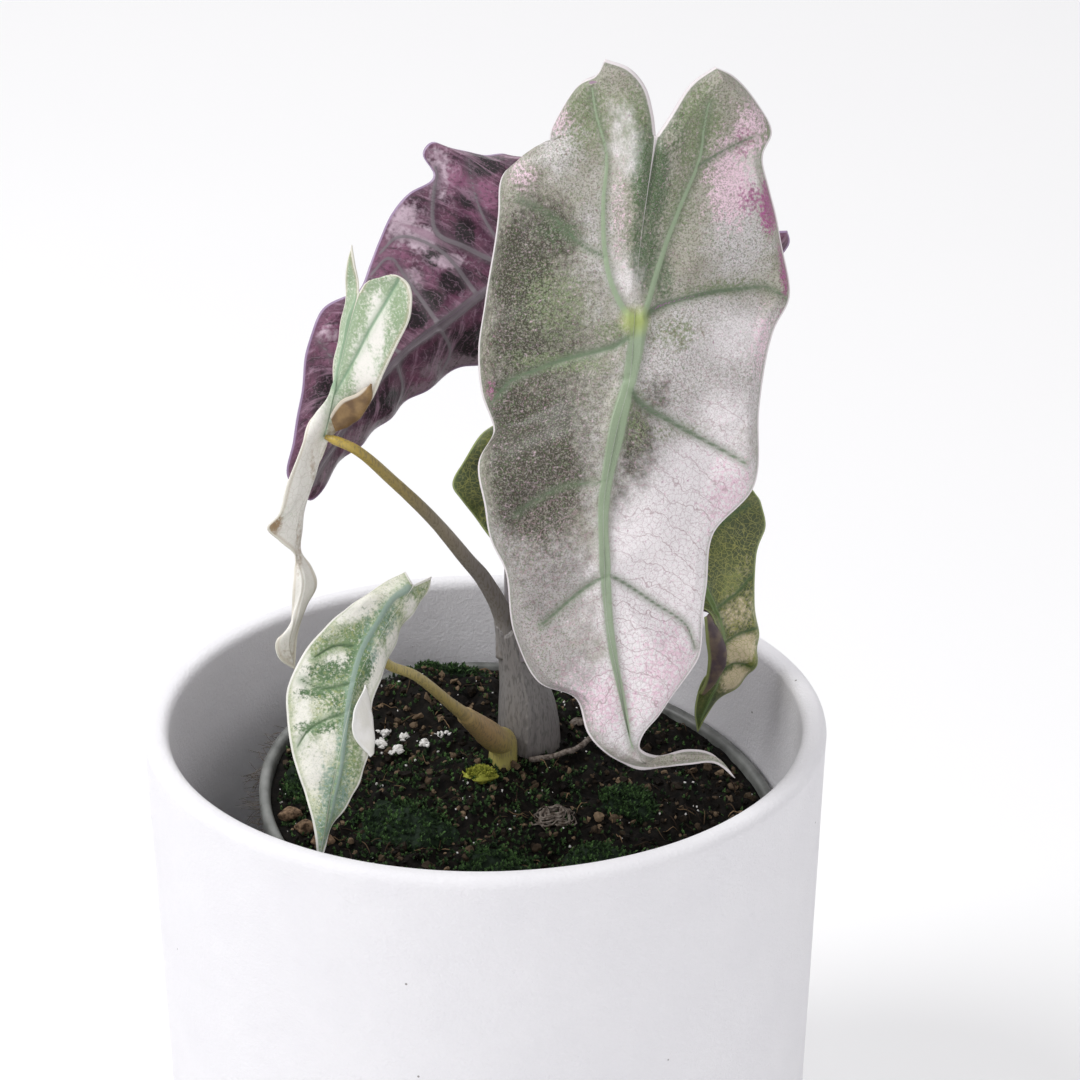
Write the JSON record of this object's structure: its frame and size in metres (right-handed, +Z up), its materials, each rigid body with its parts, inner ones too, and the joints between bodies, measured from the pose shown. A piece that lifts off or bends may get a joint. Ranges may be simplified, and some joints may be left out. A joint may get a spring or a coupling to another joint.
{
  "type": "potted alocasia",
  "caption": "Young arrow-leaved alocasia with marbled pink and green leaves, in its nursery pot inside a plain white cylindrical cachepot.",
  "frame": {"origin": "middle of the cachepot's flat underside", "axes": "+Z up along the cachepot; -Y towards the front, which the large leaf faces; +X to the right seen from the front"},
  "size_m": [0.14, 0.14, 0.2676],
  "materials": {
    "ceramic": "matt white with a fine sandy grain",
    "nursery_plastic": "thin grey translucent plastic",
    "potting_mix": "dark damp peat with bark fibres",
    "corm": "rough brown",
    "stem": "grey-lilac, finely streaked",
    "stalk_grey": "grey-green, speckled",
    "stalk_yellow": "ochre, speckled",
    "leaf_front": "marbled grey-green, cream and pink, satin",
    "leaf_pale": "cream and mint green, satin",
    "leaf_purple": "maroon underside with dark green patches, glossy",
    "leaf_small": "cream with green marbling, satin",
    "leaf_green": "olive green with tan mottling, satin",
    "moss": "dark green moss",
    "lime_moss": "lime-yellow moss",
    "perlite": "white, crumbly",
    "clay": "tan expanded clay and bark",
    "dry_root": "dry, fibrous"
  },
  "bodies": {
    "root": {"cachepot": "ceramic", "nursery_pot": "nursery_plastic", "potting_mix": "potting_mix", "corm": "corm", "stem_base": "stem", "stalk_front": "stalk_grey", "stalk_twisted": "stalk_yellow", "stalk_back": "stalk_grey", "stalk_low": "stalk_grey", "stalk_small": "stalk_yellow", "blade_front": "leaf_front", "blade_twisted": "leaf_pale", "blade_back": "leaf_purple", "blade_small": "leaf_small", "blade_low": "leaf_green", "moss_cushion_1": "moss", "moss_cushion_2": "moss", "moss_cushion_3": "moss", "moss_cushion_4": "moss", "moss_cushion_5": "moss", "moss_cushion_6": "moss", "perlite_1": "perlite", "perlite_2": "perlite", "perlite_3": "perlite", "perlite_4": "perlite", "perlite_5": "perlite", "perlite_6": "perlite", "clay_bit_1": "clay", "clay_bit_2": "clay", "clay_bit_3": "clay", "clay_bit_4": "clay", "lime_moss": "lime_moss", "root_tangle": "dry_root", "dry_scrap": "dry_root", "surface_root": "dry_root"}
  },
  "joints": []
}
